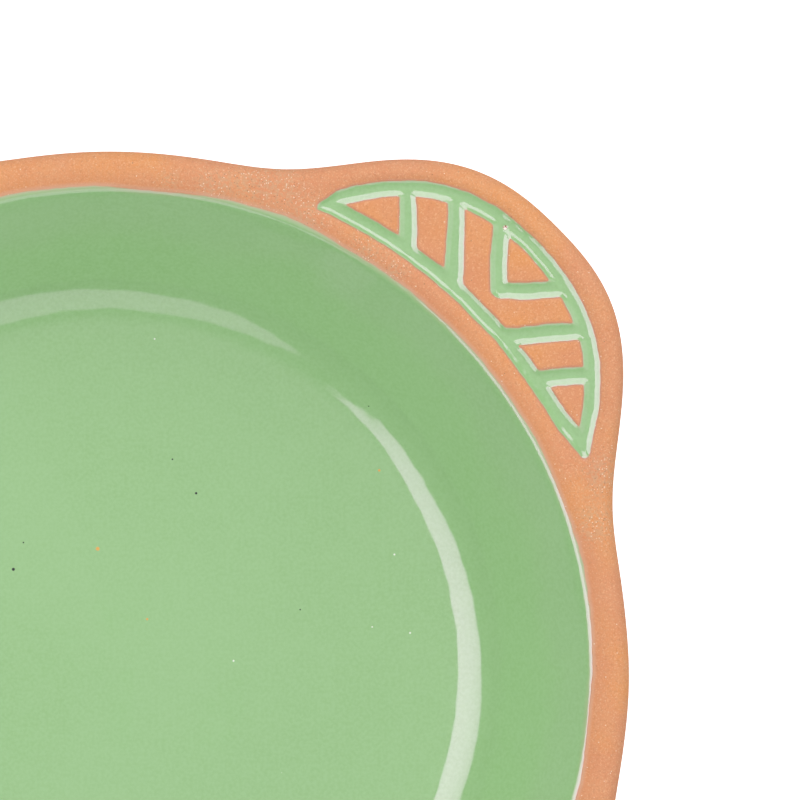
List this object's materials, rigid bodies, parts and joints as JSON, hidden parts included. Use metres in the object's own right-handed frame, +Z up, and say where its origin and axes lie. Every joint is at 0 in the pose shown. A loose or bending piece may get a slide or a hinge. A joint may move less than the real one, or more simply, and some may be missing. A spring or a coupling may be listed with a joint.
{
  "type": "terracotta serving dish",
  "caption": "Round terracotta dish with a flared, glazed well and moulded handles that carry a pressed and glazed leaf pattern. It stands on a low foot ring.",
  "frame": {"origin": "centre of the foot ring, on the surface that the dish stands on", "axes": "+Z up out of the well; the handles point along the diagonals between the X and Y axes"},
  "size_m": [0.25, 0.25, 0.036],
  "materials": {
    "terracotta": "matte",
    "green_glaze": "gloss"
  },
  "bodies": {
    "root": {"clay_body": "terracotta", "well_glaze": "green_glaze", "handle_glaze_back_right": "green_glaze", "handle_glaze_back_left": "green_glaze", "handle_glaze_front_left": "green_glaze", "handle_glaze_front_right": "green_glaze"}
  },
  "joints": []
}
